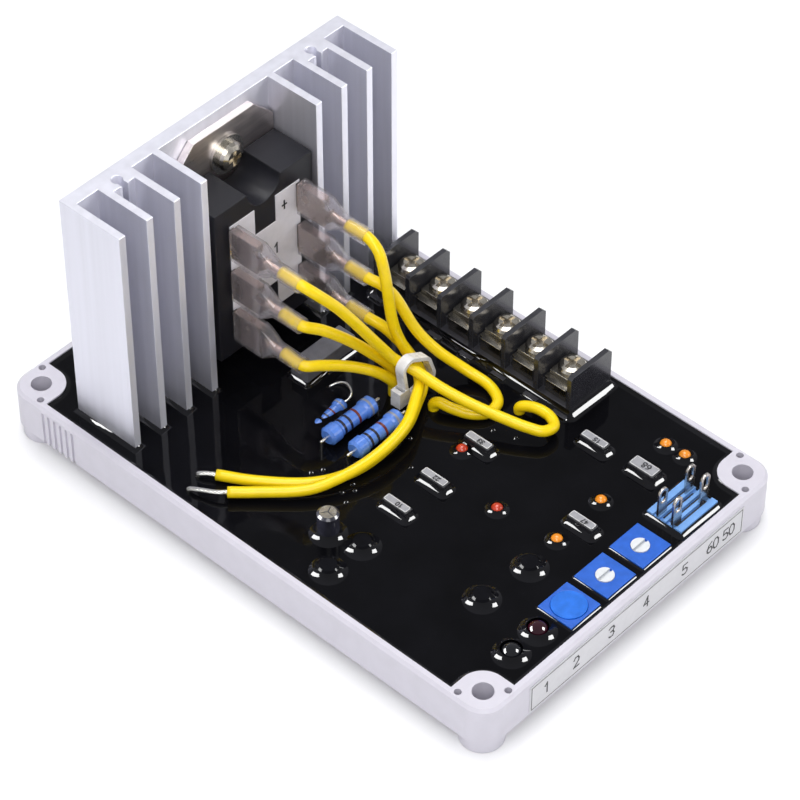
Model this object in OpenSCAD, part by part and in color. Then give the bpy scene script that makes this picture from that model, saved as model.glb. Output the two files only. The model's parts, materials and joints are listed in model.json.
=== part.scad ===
// Automatic voltage regulator: a potted control board in an open plastic tray, with a finned
// heat sink, a six-tab power module, a barrier terminal strip and a row of three trimmers.
// +X is the terminal side, +Y the heat sink, -Y the front with the trimmers, +Z up.
// The origin is under the middle of the tray, at the bottom of its feet.

/* [Tray] */
// Width of the tray along X
tray_w = 97; // [94:0.5:104]
// Length of the tray along Y
tray_l = 145; // [142:0.5:155]
// Height of the wall above the feet
wall_h = 10.5; // [10:0.1:12]
// Thickness of the wall
wall_t = 1.9; // [1.4:0.1:2.2]
// Thickness of the floor
floor_t = 2; // [1.5:0.1:2.4]
// Height of the four feet under the floor
foot_h = 3.6; // [2.8:0.1:6]
// Diameter of the four feet
foot_d = 10; // [8:0.2:10.6]
// Radius of the corner bosses around the mounting holes, and of the tray's corners
boss_r = 5.6; // [5:0.1:6.2]
// Diameter of the four mounting holes
mount_d = 4.8; // [3.5:0.1:5.6]
// Diameter of the small pilot holes beside each mounting hole
pilot_d = 1.7; // [1:0.1:2]
// Depth of the pilot holes
pilot_depth = 6; // [3:0.5:8]
// Bevel around the top edge of the wall
rim_bevel = 0.7; // [0.3:0.1:1]
// Number of upright grip grooves on the left wall
groove_count = 6; // [2:1:8]
// Spacing of the grip grooves
groove_pitch = 1.9; // [1.6:0.1:2.2]
// Depth of the grip grooves
groove_depth = 0.5; // [0.3:0.1:0.8]

/* [Board and resin] */
// Thickness of the circuit board
board_t = 1.6; // [1.2:0.1:2]
// Height of the board above the tray floor
board_lift = 2.1; // [1.5:0.1:2.6]
// Gap between the board's edge and the tray wall
board_gap = 0.8; // [0.5:0.1:1.2]
// How far the resin stays below the rim
resin_drop = 0.8; // [0.4:0.1:1.2]
// Gap between the resin and what stands in it
resin_fit = 0.05; // [0.02:0.01:0.1]

/* [Heat sink] */
// Width of the heat sink
sink_w = 85.6; // [84:0.2:87]
// Height of the heat sink
sink_h = 67; // [66:0.5:90]
// Depth of the heat sink from back to fin tips
sink_depth = 18.3; // [17:0.1:19]
// Thickness of the back plate
sink_plate_t = 3.5; // [3.2:0.1:4]
// Thickness of each fin
fin_t = 1.9; // [1.4:0.1:2.2]
// Number of fins on each side of the bay
fin_count = 4; // [3:1:4]
// Spacing of the fins
fin_pitch = 8.05; // [7.8:0.05:8.1]
// Distance from the back of the heat sink to the back of the tray
sink_inset = 17.6; // [16.8:0.1:18.2]
// Diameter of the screw ports in the back plate
port_d = 2.6; // [2.4:0.1:3.2]
// Width of the slot that opens each screw port
port_slot = 1.6; // [1.2:0.1:2]
// Wall around each screw port
port_wall = 1.4; // [1:0.1:1.6]
// Reach of the land around a screw port, from the plate to between the fins
port_land = 2.9; // [2.4:0.1:3.1]

/* [Power module] */
// Place of the module's middle along X
module_x = 1; // [0:0.1:1.2]
// Width of the module
module_w = 30.6; // [29.6:0.2:31.2]
// Length of the module's base plate
module_len = 64; // [62:0.5:66]
// Thickness of the base plate
base_t = 2; // [1.5:0.1:2.4]
// Corner chamfer of the base plate
base_chamfer = 6; // [3:0.2:6.5]
// Height of the moulded body
body_h = 43.4; // [41:0.2:44.5]
// Depth of the moulded body
body_d = 11.7; // [11.4:0.1:12]
// Radius of the screw recess at each end of the body
recess_r = 5.1; // [4.9:0.1:5.6]
// Spacing of the two module screws
module_screw_pitch = 47.8; // [47.2:0.1:48.4]
// Thickness of the printed label on the body
label_t = 0.2; // [0.1:0.05:0.3]

/* [Push-on tabs] */
// Spacing of the two columns of tabs
tab_column = 21; // [20.6:0.1:21.4]
// Spacing of the tabs in a column
tab_pitch = 12.1; // [11.9:0.1:12.3]
// Width of a tab
tab_w = 6.3; // [5.6:0.1:6.3]
// Thickness of a tab
tab_t = 0.8; // [0.6:0.1:0.8]
// Length of a tab
tab_len = 7.9; // [6.5:0.1:8.2]
// Play between a tab and its receptacle
tab_play = 0.2; // [0.1:0.05:0.3]
// Sheet thickness of a receptacle
sheet_t = 0.4; // [0.3:0.05:0.5]
// Wall of the clear sleeve over a receptacle
sleeve_t = 0.4; // [0.3:0.05:0.6]
// Play between a sleeve and what is inside it
sleeve_play = 0.1; // [0.05:0.05:0.2]

/* [Terminal strip] */
// Number of screw terminals
pole_count = 6; // [4:1:6]
// Spacing of the terminals
pole_pitch = 9.8; // [9.4:0.1:9.9]
// Width of the strip along X
strip_w = 14; // [13:0.2:14.8]
// Height of the seat for the terminal plates above the board
seat_h = 8.5; // [7.5:0.1:9.5]
// Height of the barriers above the seat
barrier_h = 7; // [6:0.1:9]
// Thickness of a barrier
barrier_t = 1.3; // [1:0.1:1.6]
// Diameter of the terminal screws
clamp_screw_d = 3.5; // [3:0.1:3.8]
// Diameter of the terminal screw heads
clamp_head_d = 6.6; // [5.8:0.1:6.8]
// Gap between the end of the strip and the fin tips
strip_gap = 3.7; // [3:0.1:4.5]

/* [Trimmers and selector] */
// Side of a trimmer
trimmer_w = 9.5; // [9:0.1:9.8]
// Height of a trimmer above the board
trimmer_h = 4.7; // [4.4:0.1:6]
// Spacing of the trimmers
trimmer_pitch = 11.75; // [11.4:0.05:12]
// Place of the middle trimmer along X
trimmer_x = -0.9; // [-1.4:0.1:-0.4]
// Gap between the trimmers and the front wall
trimmer_gap = 1.5; // [1.2:0.1:2]
// Diameter of a trimmer's rotor
rotor_d = 4.2; // [3.6:0.1:5]
// Running clearance around a rotor
rotor_fit = 0.05; // [0.02:0.01:0.1]
// Diameter of the sealing disc on the set trimmer
seal_d = 8; // [6:0.1:8.6]
// Width of the selector block along X
selector_w = 12.6; // [12:0.1:13]
// Depth of the selector block along Y
selector_d = 9.6; // [9:0.1:9.8]
// Height of the selector block above the board
selector_h = 5.4; // [5:0.1:7]
// Height of the selector's lugs above the block
lug_h = 7.6; // [5:0.1:9]

/* [Small parts] */
// Diameter of an indicator lamp
lamp_d = 5; // [4:0.1:5.4]
// Height of a film capacitor above the board
film_h = 6.5; // [6:0.1:9]
// Width of a film capacitor
film_w = 2.5; // [2:0.1:2.8]
// Length of a film capacitor
film_l = 7.2; // [6.4:0.1:7.4]
// Diameter of a bead capacitor
bead_d = 2.9; // [2.2:0.1:3.1]
// Diameter of the can capacitors
can_d = 5; // [4:0.1:5.4]
// Height of the tall can capacitor above the board
tall_can_h = 10.8; // [7:0.1:14]
// Height of the low can capacitors above the board
low_can_h = 6; // [5:0.1:9]
// Length of the large resistors
resistor_l = 14.8; // [12:0.1:15]
// Diameter of the large resistors
resistor_d = 4.6; // [3.6:0.1:4.7]
// Length of the box capacitor along X
box_l = 16; // [12:0.2:17]
// Width of the box capacitor
box_w = 5.2; // [4:0.1:5.4]
// Height of the box capacitor above the board
box_h = 8.7; // [6:0.1:10]

/* [Leads and front label] */
// Outer diameter of the yellow leads
lead_d = 2.6; // [2:0.1:2.6]
// Thickness of the cable tie's band
tie_t = 0.9; // [0.6:0.1:1]
// Width of the cable tie's band
tie_w = 2.5; // [2:0.1:3]
// Length of the front label
front_label_l = 71; // [60:0.5:72]
// Height of the front label
front_label_h = 7.8; // [5:0.1:8]

/* [Hidden] */
$fn = 48;
hull_fn = 32;
// Overlap that lets a cut pass cleanly through a face
cut = 1;

// Heights of the tray, the board and the resin
floor_z = foot_h + floor_t;
rim_z = foot_h + wall_h;
board_z = floor_z + board_lift;
board_top = board_z + board_t;
resin_z = rim_z - resin_drop;

// The tray seen from above
half_w = tray_w / 2;
half_l = tray_l / 2;
inner_w = half_w - wall_t;
inner_l = half_l - wall_t;
mount_x = half_w - boss_r;
mount_y = half_l - boss_r;
corners = [[1, 1], [-1, 1], [-1, -1], [1, -1]];
pilot_reach = 3.7;
groove_w = 0.9;
groove_inset = 10.5;
groove_y = mount_y - groove_inset;

// Heat sink, from its back face at sink_back
sink_back = half_l - sink_inset;
plate_front = sink_back - sink_plate_t;
fin_tip = sink_back - sink_depth;
outer_fin = sink_w / 2 - fin_t / 2;
fin_x = [for (k = [0:fin_count - 1]) outer_fin - k * fin_pitch];
port_x = outer_fin - 1.5 * fin_pitch;
port_y = plate_front - port_d / 4;
port_screw_fit = 0.05;
port_screw_d = port_d - 2 * port_screw_fit;
port_screw_hole = port_screw_d + 0.4;
port_screw_bite = 9;
port_head_d = 5.6;
port_head_h = 2;
port_cross_l = 2.8;
port_cross_w = 0.9;
port_cross_depth = 1;

// Power module, stacked forward from the back plate
base_front = plate_front - base_t;
body_front = base_front - body_d;
module_mid = board_top + module_len / 2;
module_screw_z = [module_mid + module_screw_pitch / 2, module_mid - module_screw_pitch / 2];
module_screw_d = 4;
module_thread_fit = 0.05;
module_hole_d = 4.5;
washer_d = 9.8;
washer_play = 0.15;
washer_t = 0.8;
head_d = 7.2;
head_h = 2.2;
cross_w = 1.1;
cross_l = 4;
cross_depth = 1.2;
label_half = tab_column / 2 + 0.4;
label_h = 32.5;
label_notch_w = 6.6;
label_notch_h = 7.4;

// Tabs, receptacles and sleeves: 1 to 3 down the right column, 4 to 6 down the left
tab_x = [for (i = [0:5]) module_x + (i < 3 ? 1 : -1) * tab_column / 2];
tab_z = [for (i = [0:5]) module_mid + (1 - i % 3) * tab_pitch];
tab_nose = 1;
tab_hole_d = 1.7;
tab_hole_reach = 2.2;
channel_w = tab_w + 2 * (tab_play + sheet_t) + 0.1;
channel_t = tab_t + 2 * (tab_play + sheet_t);
channel_start = body_front - tab_play - 0.6;
channel_len = 8;
neck_len = 2;
neck_w = 3;
barrel_len = 4.5;
barrel_d = channel_t;
barrel_start = channel_start - channel_len - neck_len;
barrel_end = barrel_start - barrel_len;
sleeve_start = channel_start - 0.2;
sleeve_bore = lead_d + 6 * sleeve_play;
sleeve_flat_end = channel_start - channel_len - 0.9;
sleeve_taper = 4;
sleeve_tube_start = sleeve_flat_end - sleeve_taper;
sleeve_tail = 5.9;
sleeve_end = barrel_end - sleeve_tail;

// Terminal strip beside the right wall
strip_edge_gap = 1.8;
strip_x = inner_w - strip_edge_gap - strip_w / 2;
strip_len = pole_count * pole_pitch + barrier_t;
strip_y = fin_tip - strip_gap - strip_len / 2;
seat_z = board_top + seat_h;
barrier_top = seat_z + barrier_h;
pole_y = [for (k = [0:pole_count - 1]) strip_y + (k - (pole_count - 1) / 2) * pole_pitch];
barrier_y = [for (k = [0:pole_count]) strip_y + (k - pole_count / 2) * pole_pitch];
ledge_drop = 2.6;
ledge_w = 2;
barrier_cut = 1.2;
barrier_ease = 0.6;
strip_foot_w = 2;
strip_foot_l = 4;
strip_foot_h = 4.6;
plate_t = 0.8;
plate_l = strip_w - 2 * ledge_w - 1;
plate_w = pole_pitch - barrier_t - 0.6;
clamp_t = 1.1;
clamp_w = plate_w - 0.6;
clamp_head_h = 2;
clamp_slot_l = 4.4;
clamp_slot_w = 1;
clamp_slot_depth = 1;
clamp_screw_fit = 0.05;
clamp_screw_len = 6;
clamp_head_z = seat_z + plate_t + clamp_t;

// Front row: trimmers, selector and lamps
row_y = -(inner_l - trimmer_gap - trimmer_w / 2);
trimmer_spots = [for (k = [-1:1]) [trimmer_x + k * trimmer_pitch, row_y]];
trimmer_top = board_top + trimmer_h;
rotor_h = 1.6;
rotor_proud = 0.15;
rotor_slot_w = 0.8;
rotor_slot_d = 0.8;
seal_h = 0.7;
row_shift = 0.4;
selector_spot = [0.528 * half_w, row_y + row_shift];
selector_top = board_top + selector_h;
rib_count = 5;
rib_h = 0.8;
rib_w = 0.9;
lug_spread_x = 9.4;
lug_spread_y = 4.1;
lug_w = 3;
lug_t = 0.6;
lug_eye_d = 1.6;
lug_seat = 1.5;
lug_fit = 0.05;
lamp_spots = [for (x = [-0.633, -0.46]) [x * half_w, row_y + row_shift]];
lamp_cyl_h = 3.9;

// Parts scattered over the board, placed as shares of its half width and half length
function board_spots(shares) = [for (s = shares) [s[0] * half_w, s[1] * half_l]];
film_spots = board_spots([[-0.346, -0.255], [-0.11, -0.264], [0.2, -0.258], [0.565, -0.515], [0.14, -0.709]]);
wide_film_spot = board_spots([[0.586, -0.701]])[0];
wide_film_w = film_w + 1;
orange_spots = board_spots([[0.79, -0.673], [0.794, -0.746], [0.318, -0.681], [0.002, -0.688]]);
red_spots = board_spots([[-0.037, -0.473], [0.132, -0.229]]);
bead_h = 4.3;
tall_can_spot = board_spots([[-0.656, -0.167]])[0];
low_can_spots = board_spots([[-0.61, -0.277], [-0.819, -0.27], [-0.485, -0.68], [-0.202, -0.7]]);
box_reach = 12.3;
box_shift = 3.1;
box_spot = [module_x + box_l / 2 - box_shift, body_front - box_reach];

// Plane of the cable tie across the leads
tie_y = 3;

// Two large resistors stand clear of the resin, a small one is half sunk in it
resistor_rise = 0.35;
resistor_reach = 3.4;
resistor_gap = 2.6;
resistor_spots = [[-5.4, tie_y + resistor_reach],
  [-4.4, tie_y + resistor_reach - resistor_d - resistor_gap]];
resistor_axis_z = resin_z + resistor_rise + resistor_d / 2;
sunk_reach = 10.3;
sunk_spot = [-5, tie_y + sunk_reach];
sunk_l = 9.6;
sunk_d = 3.6;
sunk_depth = 1.1;
sunk_axis_z = resin_z - sunk_depth;
sunk_tilt = 10;
resistor_wire_d = 0.8;
resistor_wire_reach = 1.8;

// Routes of the leads from their receptacles, in millimetres
lead_1_route = [[11.5, 22.4, 53.4], [11.5, 16.4, 53.4], [11.2, 13, 51.6], [10.7, 10.6, 46.4],
  [10.7, 8.4, 34], [12.4, 7.8, 27.4], [13.6, 6.6, 23.4], [13.4, 3.6, 20.5],
  [11.2, 0.6, 19.6], [7.2, -2, 19.5], [0.2, -5.7, 19.2], [-6.9, -6.9, 18.6], [-14.6, -6.3, 17.6],
  [-21.1, -4.4, 16.6], [-26.8, -1.6, 15.8], [-35.2, 6.8, 15.4], [-39.3, 11.2, 15.4]];
lead_2_route = [[11.5, 22.4, 41.3], [11.5, 16.4, 41.3], [12.8, 13.6, 40.2], [14.8, 11.6, 36.6],
  [17.8, 7.5, 26.6], [20.6, 3.4, 20.8], [23.8, -2.4, 16.4], [24.8, -8.4, 14.8],
  [22.2, -13.2, 14.7], [18.2, -13.8, 14.7], [15.2, -11.2, 14.8], [13.2, -7.2, 15.4], [12.3, -4.2, 15.8],
  [12, -3, 14.7], [12, -3, 13.3]];
lead_3_route = [[11.5, 22.4, 29.2], [11.5, 16.4, 29.2], [13, 12.9, 27.4], [15.2, 9.2, 22.6],
  [15.8, 5.8, 18.8], [15, 3, 17], [12.6, 1, 16.4], [8.8, -1, 16.3], [1.5, -4.5, 16.6],
  [-5.4, -5.5, 16], [-13.2, -4.9, 15], [-19.6, -2.8, 14.7], [-25.1, 0.9, 14.7], [-32.3, 9.7, 14.7],
  [-36.7, 17.2, 14.7]];
lead_4_route = [[-9.5, 22.4, 53.4], [-9.5, 16.4, 53.4], [-7.4, 13.6, 50.8], [-3.2, 11.2, 45.2],
  [6, 7.1, 29.6], [8.8, 5.8, 25], [10.4, 3.2, 23.4], [11.2, 0.6, 22.5], [12.2, -4.4, 21],
  [14.2, -11.4, 19.2], [16.4, -18.8, 18.2], [18.7, -24.6, 17.2], [20.8, -28, 16.6], [23.8, -28.4, 16.2],
  [25.6, -25.6, 16.2], [25.4, -21.4, 16.2], [24.5, -18.6, 15.4], [24.3, -17.8, 14.5], [24.3, -17.8, 13.3]];
lead_5_route = [[-9.5, 22.4, 41.3], [-9.5, 16.4, 41.3], [-6, 14, 39.2], [0, 11.6, 33.4],
  [5.6, 9.8, 26.6], [9.8, 9, 20.8], [11.2, 8.8, 17.4], [11.5, 8.8, 15.2], [11.5, 8.8, 13.3]];
lead_6_route = [[-9.5, 22.4, 29.2], [-9.5, 16.4, 29.2], [-6.4, 14.2, 28.5], [-1, 11.6, 26.2],
  [4.4, 8.7, 22.8], [7.8, 7.2, 19.2], [9.2, 6.8, 16.8], [9.4, 6.8, 14.8], [9.4, 6.8, 13.3]];
lead_sides = 8;

// Tinned ends of leads 1 and 3, from the insulation down to the resin
end_d = 1.1;
end_1_route = [[-39.3, 11.2, 15.4], [-40.66, 12.66, 15.4], [-42.9, 17.6, 14.6], [-43.4, 19.2, 13.9],
  [-43.4, 19.2, 13.3]];
end_3_route = [[-36.7, 17.2, 14.7], [-37.71, 18.93, 14.7], [-38.8, 20.6, 14.3], [-38.9, 20.9, 13.9],
  [-38.9, 20.9, 13.3]];

// Loop of the cable tie around leads 1, 3 and 4, and its head
tie_spots = [[11, 16.4], [15.3, 17.4], [13.9, 21.6], [9.8, 24]];
tie_play = 0.45;
tie_head = [3.4, 2.8, 4.6];

// Front label on the wall
front_label_t = 0.2;
front_label_x = 1;
front_label_z = foot_h + wall_h / 2 - 0.6;

// Shapes that several parts share

// A rectangle centred on the origin, in plan
module plan_box(w, l) {
  translate([-w / 2, -l / 2])
    square([w, l]);
}

// A block of the given plan size, standing on z0 at a spot
module block(spot, w, l, h, z0) {
  translate([spot[0], spot[1], z0])
    linear_extrude(h)
      plan_box(w, l);
}

// A rounded slab whose top outer edge is bevelled
module bevelled_slab(w, l, r, h, bevel) {
  for (c = corners)
    translate([c[0] * (w / 2 - r), c[1] * (l / 2 - r), 0]) {
      cylinder(r = r, h = h - bevel);
      translate([0, 0, h - bevel])
        cylinder(r1 = r, r2 = r - bevel, h = bevel);
    }
  rotate([90, 0, 0])
    linear_extrude(l - 2 * r, center = true)
      bevel_section(w, h, bevel);
  rotate([90, 0, 90])
    linear_extrude(w - 2 * r, center = true)
      bevel_section(l, h, bevel);
}

// Cross-section of a bevelled slab
module bevel_section(w, h, bevel) {
  polygon([[-w / 2, 0], [w / 2, 0], [w / 2, h - bevel], [w / 2 - bevel, h],
    [bevel - w / 2, h], [-w / 2, h - bevel]]);
}

// Cylinder along -Y from a start point
module forward_cylinder(x, y, z, d, len) {
  translate([x, y, z])
    rotate([90, 0, 0])
      cylinder(d = d, h = len);
}

// Straight round rod between two points
module rod(p, q, d) {
  v = q - p;
  translate(p)
    rotate([0, acos(v[2] / norm(v)), atan2(v[1], v[0])])
      cylinder(d = d, h = norm(v));
}

// Screw head with a cross recess, seen along its axis, top at z = h
module cross_head(d, h, slot_l, slot_w, slot_d) {
  difference() {
    rotate_extrude()
      polygon([[0, 0], [d / 2, 0], [d / 2, h * 0.45], [d * 0.44, h * 0.78], [d * 0.3, h], [0, h]]);
    for (a = [0, 90])
      rotate([0, 0, a])
        translate([-slot_l / 2, -slot_w / 2, h - slot_d])
          cube([slot_l, slot_w, slot_d + cut]);
  }
}

// Swept tube along a route

function unit(v) = v / norm(v);
function tangent(p, i) =
  i == 0 ? unit(p[1] - p[0]) :
  i == len(p) - 1 ? unit(p[i] - p[i - 1]) :
  unit(unit(p[i + 1] - p[i]) + unit(p[i] - p[i - 1]));
function side(p, i) =
  i == 0 ? unit(cross(tangent(p, 0), [1, 0, 0])) :
  let (s = side(p, i - 1), t = tangent(p, i)) unit(s - t * (s * t));
function ring(p, i, r, n) =
  let (t = tangent(p, i), s = side(p, i), u = cross(t, s))
  [for (k = [0:n - 1]) p[i] + r * (cos(360 * k / n) * s + sin(360 * k / n) * u)];

module tube(route, d, n) {
  last = len(route) - 1;
  points = [for (i = [0:last]) each ring(route, i, d / 2, n)];
  walls = [for (i = [0:last - 1], k = [0:n - 1])
    let (a = i * n + k, b = i * n + (k + 1) % n)
    each [[a, a + n, b + n], [a, b + n, b]]];
  start_cap = [for (k = [0:n - 1]) k];
  end_cap = [for (k = [0:n - 1]) last * n + n - 1 - k];
  polyhedron(points, concat([start_cap], walls, [end_cap]));
}

// Plan outlines

// Corner boss around a mounting hole, square towards the walls and round inside
module boss_plan(c, grow) {
  r = boss_r + grow;
  translate([c[0] * mount_x, c[1] * mount_y]) {
    circle(r);
    scale_to_corner(c)
      translate([-r, 0])
        square([2 * r, boss_r]);
    scale_to_corner(c)
      translate([0, -r])
        square([boss_r, 2 * r]);
  }
}

// Mirror a shape drawn for the +X +Y corner into another corner
module scale_to_corner(c) {
  mirror([c[0] < 0 ? 1 : 0, 0])
    mirror([0, c[1] < 0 ? 1 : 0])
      children();
}

// Inside of the tray, less the bosses
module cavity_plan(gap) {
  difference() {
    plan_box(2 * (inner_w - gap), 2 * (inner_l - gap));
    for (c = corners)
      boss_plan(c, gap);
  }
}

// Heat sink section: back plate, fins and screw ports
module sink_plan(grow) {
  difference() {
    union() {
      translate([0, sink_back - sink_plate_t / 2])
        plan_box(sink_w + 2 * grow, sink_plate_t + 2 * grow);
      for (side = [-1, 1])
        for (x = fin_x)
          translate([side * x, (fin_tip + plate_front) / 2])
            plan_box(fin_t + 2 * grow, plate_front - fin_tip + 2 * grow);
      for (side = [-1, 1])
        translate([side * port_x, port_y])
          circle(port_d / 2 + port_wall + grow);
      for (side = [-1, 1])
        translate([side * port_x, plate_front - port_land / 2])
          plan_box(fin_pitch, port_land + 2 * grow);
    }
    for (side = [-1, 1])
      translate([side * port_x, port_y]) {
        circle(d = port_d - 2 * grow);
        translate([-port_slot / 2 + grow, -port_d - port_wall])
          square([port_slot - 2 * grow, port_d + port_wall]);
      }
  }
}

// Everything that stands on the board and passes up through the resin
module standing_plan(grow) {
  g = 2 * grow;
  sink_plan(grow);
  for (side = [-1, 1])
    translate([side * port_x, port_y])
      circle(d = port_screw_hole);
  translate([module_x, (plate_front + base_front) / 2])
    plan_box(module_w + g, base_t + g);
  translate([module_x, base_front - washer_t - head_h / 2])
    plan_box(washer_d + g, 2 * washer_t + head_h + g);
  strip_plan(grow);
  for (s = trimmer_spots)
    translate(s)
      plan_box(trimmer_w + g, trimmer_w + g);
  translate(selector_spot)
    plan_box(selector_w + g, selector_d + g);
  for (s = lamp_spots)
    translate(s)
      circle(d = lamp_d + g);
  for (s = film_spots)
    translate(s)
      plan_box(film_w + g, film_l + g);
  translate(wide_film_spot)
    plan_box(wide_film_w + g, film_l + g);
  for (s = concat(orange_spots, red_spots))
    translate(s)
      circle(d = bead_d + g);
  for (s = concat([tall_can_spot], low_can_spots))
    translate(s)
      circle(d = can_d + g);
  translate(box_spot)
    plan_box(box_l + g, box_w + g);
  for (s = resistor_wire_spots())
    translate(s)
      circle(d = resistor_wire_d + g);
}

// Tray, board and resin

module tray() {
  color("whitesmoke")
    difference() {
      union() {
        translate([0, 0, foot_h])
          bevelled_slab(tray_w, tray_l, boss_r, wall_h, rim_bevel);
        for (c = corners)
          translate([c[0] * mount_x, c[1] * mount_y, 0])
            cylinder(d = foot_d, h = foot_h + floor_t);
      }
      translate([0, 0, floor_z])
        linear_extrude(wall_h)
          cavity_plan(0);
      for (c = corners)
        translate([c[0] * mount_x, c[1] * mount_y, 0]) {
          translate([0, 0, -cut])
            cylinder(d = mount_d, h = rim_z + 2 * cut);
          for (s = [-1, 1])
            translate([s * c[0] * pilot_reach, -s * c[1] * pilot_reach, rim_z - pilot_depth])
              cylinder(d = pilot_d, h = pilot_depth + cut);
        }
      for (side = [-1, 1])
        translate([side * port_x, port_y, 0])
          cylinder(d = port_screw_hole, h = floor_z + cut);
      for (k = [0:groove_count - 1])
        translate([-half_w - groove_depth, groove_y + (k - groove_count / 2) * groove_pitch, foot_h - cut])
          cube([2 * groove_depth, groove_w, wall_h - 2 * rim_bevel + cut]);
    }
}

module circuit_board() {
  color("darkgreen")
    translate([0, 0, board_z])
      linear_extrude(board_t)
        difference() {
          plan_box(2 * (inner_w - board_gap), 2 * (inner_l - board_gap));
          for (c = corners)
            translate([c[0] * mount_x, c[1] * mount_y])
              scale_to_corner(c)
                translate([-boss_r - board_gap, -boss_r - board_gap])
                  square(2 * boss_r + 2 * board_gap);
          for (side = [-1, 1])
            translate([side * port_x, port_y])
              circle(d = port_screw_hole);
        }
}

module potting_resin() {
  color([0.06, 0.06, 0.06])
    difference() {
      translate([0, 0, floor_z])
        linear_extrude(resin_z - floor_z)
          cavity_plan(resin_fit);
      circuit_board();
      for (side = [-1, 1])
        translate([side * port_x, port_y, floor_z - cut])
          cylinder(d = port_screw_hole, h = board_lift + board_t + 2 * cut);
      translate([0, 0, board_top])
        linear_extrude(wall_h)
          standing_plan(resin_fit);
      resistor_body(sunk_spot, sunk_axis_z, sunk_l + 2 * resin_fit, sunk_d + 2 * resin_fit, sunk_tilt);
    }
}

// Heat sink and its screws

module heat_sink() {
  color("silver")
    difference() {
      translate([0, 0, board_top])
        linear_extrude(sink_h)
          sink_plan(0);
      for (z = module_screw_z)
        forward_cylinder(module_x, sink_back + cut, z, module_screw_d + 2 * module_thread_fit,
          sink_plate_t + 2 * cut);
    }
}

// Self-tapping screws that hold the heat sink down, driven up through the tray
module heat_sink_screws() {
  color("gray")
    for (side = [-1, 1])
      translate([side * port_x, port_y, foot_h]) {
        mirror([0, 0, 1])
          cross_head(port_head_d, port_head_h, port_cross_l, port_cross_w, port_cross_depth);
        cylinder(d = port_screw_d, h = board_top - foot_h + port_screw_bite);
      }
}

// Power module

// Base plate outline, seen from the front
module base_outline() {
  w = module_w / 2;
  h = module_len / 2;
  c = base_chamfer;
  polygon([[c - w, -h], [w - c, -h], [w, c - h], [w, h - c], [w - c, h], [c - w, h], [-w, h - c], [-w, c - h]]);
}

// Body outline with a round screw recess at each end, clear of the washers
module body_outline() {
  difference() {
    plan_box(module_w, body_h);
    for (end = [-1, 1]) {
      translate([0, end * body_h / 2])
        circle(recess_r);
      translate([0, end * module_screw_pitch / 2])
        circle(d = washer_d + 2 * washer_play);
    }
  }
}

// Label outline: a plate with a notch at each end and slots for the tabs
module label_outline() {
  difference() {
    plan_box(2 * label_half, label_h);
    for (end = [-1, 1])
      translate([0, end * label_h / 2])
        plan_box(label_notch_w, 2 * label_notch_h);
    for (side = [-1, 1], k = [-1:1])
      translate([side * tab_column / 2, k * tab_pitch])
        plan_box(tab_t + 4 * tab_play, tab_w + 4 * tab_play);
  }
}

// Stand an outline upright, its front face at y
module upright(y, t) {
  translate([module_x, y + t, module_mid])
    rotate([90, 0, 0])
      linear_extrude(t)
        children();
}

module module_base() {
  color("lightgray")
    difference() {
      upright(base_front, base_t)
        base_outline();
      for (z = module_screw_z)
        forward_cylinder(module_x, plate_front + cut, z, module_hole_d, base_t + 2 * cut);
    }
}

module module_body() {
  color([0.13, 0.13, 0.14])
    upright(body_front, body_d)
      body_outline();
}

module module_label() {
  color("white")
    upright(body_front - label_t, label_t)
      label_outline();
}

module module_tabs() {
  color("silver")
    for (i = [0:5])
      translate([tab_x[i] + tab_t / 2, body_front, tab_z[i]])
        rotate([0, -90, 0])
          linear_extrude(tab_t)
            difference() {
              polygon([[-tab_w / 2, 0], [tab_w / 2, 0], [tab_w / 2, tab_nose - tab_len],
                [tab_w / 2 - tab_nose, -tab_len], [tab_nose - tab_w / 2, -tab_len],
                [-tab_w / 2, tab_nose - tab_len]]);
              translate([0, tab_hole_reach - tab_len])
                circle(d = tab_hole_d);
            }
}

module module_washers() {
  color("lightgray")
    for (z = module_screw_z)
      difference() {
        forward_cylinder(module_x, base_front, z, washer_d, washer_t);
        forward_cylinder(module_x, base_front + cut, z, module_hole_d, washer_t + 2 * cut);
      }
}

module module_screws() {
  color("silver")
    for (z = module_screw_z) {
      translate([module_x, base_front - washer_t, z])
        rotate([90, 0, 0])
          cross_head(head_d, head_h, cross_l, cross_w, cross_depth);
      forward_cylinder(module_x, sink_back - 0.5, z, module_screw_d,
        sink_plate_t - 0.5 + base_t + washer_t);
    }
}

// Push-on connectors

// Receptacle: a folded channel on the tab, a flat neck and a crimped barrel
module receptacle(i) {
  color("tan")
    translate([tab_x[i], 0, tab_z[i]]) {
      translate([0, channel_start, 0])
        rotate([90, 0, 0])
          linear_extrude(channel_len)
            channel_section();
      translate([-channel_t / 2, barrel_start, -neck_w / 2])
        cube([sheet_t, neck_len, neck_w]);
      translate([-channel_t / 2, barrel_start, -neck_w / 2])
        cube([channel_t / 2 + sheet_t, sheet_t, neck_w]);
      forward_cylinder(0, barrel_start, 0, barrel_d, barrel_len);
    }
}

// Channel section with its edges folded in over the tab
module channel_section() {
  difference() {
    plan_box(channel_t, channel_w);
    plan_box(channel_t - 2 * sheet_t, channel_w - 2 * sheet_t);
    translate([channel_t / 2, 0])
      plan_box(4 * sheet_t, channel_w / 3);
  }
}

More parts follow.
